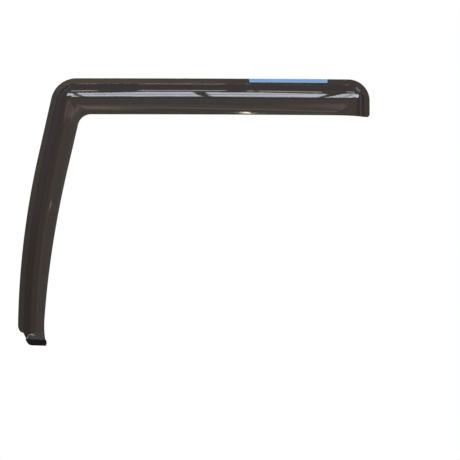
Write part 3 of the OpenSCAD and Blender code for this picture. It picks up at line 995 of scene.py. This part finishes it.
def panel_shape(x, s):
    """Share of the full light: a main panel and two wings, less the dark joints and two thin shadows."""
    top = np.interp(
        x,
        [-0.36, -0.27, -0.17, -0.03, 0.05, 0.13, 0.24, 0.30, 0.40],
        [0.62, 0.64, 0.75, 0.76, 0.70, 0.72, 0.63, 0.60, 0.72],
    )
    main = between(x, -0.355, 0.39, 0.006) * between(s, 0.0, top, 0.08)
    wing_top = np.interp(x, [-2.9, -1.9, -0.4], [0.16, 0.27, 0.55])
    left = between(x, -2.9, -0.372, 0.01) * between(s, 0.02, wing_top, 0.08)
    right = between(x, 0.38, 3.0, 0.01) * between(s, 0.10, 0.55, 0.08)
    lit = np.maximum(main, np.maximum(left, right))
    for low, high, slim, wide in ((-0.0175, -0.035, 0.024, 0.034), (0.291, 0.330, 0.020, 0.045)):
        joint, half = lerp(low, high, s / 0.8), lerp(slim, wide, s / 0.8) / 2
        lit = lit * (1 - between(x, joint - half, joint + half, 0.006))
    lit = lit * (1 - between(x, 0.288, 0.352, 0.01) * between(s, 0.64, 0.95, 0.06))
    for corners, width in (
        ([(3.33, 0.25), (3.55, 0.3), (3.74, 0.55)], 0.05),
        ([(3.58, 0.0), (3.66, 0.4), (3.62, 0.8)], 0.04),
    ):
        lit = lit * (1 - 0.5 * near_line(10 * x, s, corners, width))
    return lit


def panel_shade(x, s):
    """Share of light inside the panels: a bluish line, a dimmer rim, and two lines along the wings."""
    blue_s = np.interp(x, [0.12, 0.22, 0.29], [0.42, 0.48, 0.60])
    blue = np.interp(
        x,
        [-0.345, -0.30, -0.20, -0.03, 0.0, 0.15, 0.26],
        [0.30, 0.72, 0.60, 0.58, 0.70, 0.62, 0.10],
    )
    rim = np.interp(
        x,
        [-0.34, -0.30, -0.26, -0.21, -0.17, -0.02, 0.08, 0.20, 0.28],
        [0.5, 0.6, 0.3, 0.75, 0.45, 0.42, 0.6, 0.7, 0.9],
    )
    shade = 1 - blue * np.exp(-(((s - blue_s) / 0.05) ** 2)) - (1 - rim) * between(s, -0.2, 0.14, 0.06)
    shade = shade + 0.12 * np.exp(-(((s - 0.25) / 0.06) ** 2)) - 0.08 * between(s, 0.48, 0.8, 0.05)
    wing = 1 + 0.3 * np.exp(-(((s - 0.42) / 0.06) ** 2)) - 0.5 * np.exp(-(((s - 0.25) / 0.05) ** 2))
    return np.where(x < -0.36, wing, shade)


def panel_glow(x, s):
    """Grey round the panels, their own light, a short lip below the left joint, and a cream strip above."""
    light = np.broadcast_to([0.70, 0.68, 0.66], x.shape + (3,)).copy()
    light = toward(light, ease((s - 1.02) / 0.05), (0.52, 0.50, 0.53))
    lip = between(x, -0.400, -0.374, 0.008) * between(s, -0.02, 0.12, 0.05)
    light = toward(light, np.maximum(panel_shape(x, s) * panel_shade(x, s), 0.7 * lip), PANEL_LIGHT)
    strip_s = np.interp(
        x,
        [-0.37, -0.33, -0.19, 0.04, 0.12, 0.20, 0.28, 0.36],
        [0.86, 0.92, 0.965, 0.965, 0.93, 0.90, 0.83, 0.9],
    )
    strip = between(s, strip_s - 0.075, strip_s + 0.075, 0.05)
    pieces = ((-0.377, -0.305, 0.02), (-0.194, 0.036, 0.012), (0.090, 0.110, 0.006))
    pieces += ((0.122, 0.286, 0.01), (0.353, 0.382, 0.006))
    return toward(light, strip * sum(between(x, *piece) for piece in pieces), CREAM_LIGHT)


panel_x = spaced((-3.2, 60), (-0.6, 260), (0.6, 50), (3.4, 0))
panel_s = spaced((-0.1, 130), (1.25, 0))
add_glow("softbox", lambda x, s: (x, lerp(*BOX_Y, s), lerp(*BOX_Z, s)), panel_glow, panel_x, panel_s)


# %% The room's side walls
def side_glow(y, z):
    """Warm grey with a low warm line, and darker beside and behind the part."""
    light = np.broadcast_to([0.62, 0.57, 0.60], y.shape + (3,)).copy()
    dark = lerp(np.array([0.30, 0.30, 0.32]), np.array([0.46, 0.44, 0.50]), ease((z + 0.3) / 0.9)[..., None])
    light = lerp(light, dark, ease((y + 3.0) / 3.0)[..., None])
    return light + tinted(between(y, -11, -4.5, 1.5) * between(z, 0.89, 1.06, 0.03), (0.95, 0.65, 0.60))


side_y, side_z = np.linspace(WALL_Y, 3.5, 53), spaced((-3.6, 10), (0.8, 16), (1.12, 6), (3.4, 0))
add_glow("left_wall", lambda y, z: (-SIDE_X, y, z), side_glow, side_y, side_z)
add_glow("right_wall", lambda y, z: (SIDE_X, y, z), side_glow, side_y, side_z)

# %% A low bent tube of light, which shows as the small hook at the foot
# Each row is a knot of the tube: its place (x, y, z), and how brightly it glows there.
TUBE_X, TUBE_Y, TUBE_Z, TUBE_GLOW = np.transpose(
    [
        (-1.58, -0.14, -0.84, 1.5),
        (-1.48, -0.43, -0.94, 7.0),
        (-1.37, -0.61, -1.00, 12.0),
        (-1.24, -0.74, -1.08, 12.0),
        (-1.09, -0.83, -1.16, 8.0),
        (-0.94, -0.89, -1.23, 6.0),
        (-0.79, -0.92, -1.28, 1.0),
    ]
)


def at_knot(u, values):
    """The values at the tube's knots, blended in straight lines between them."""
    return np.interp(u, np.arange(len(values)), values)


add_glow(
    "low_tube",
    lambda u, v: (at_knot(u, TUBE_X), at_knot(u, TUBE_Y), at_knot(u, TUBE_Z) + v),
    lambda u, v: tinted(at_knot(u, TUBE_GLOW), (1.0, 0.93, 0.87)),
    np.linspace(0, 6, 37),
    np.array([-0.03, 0.03]),
)
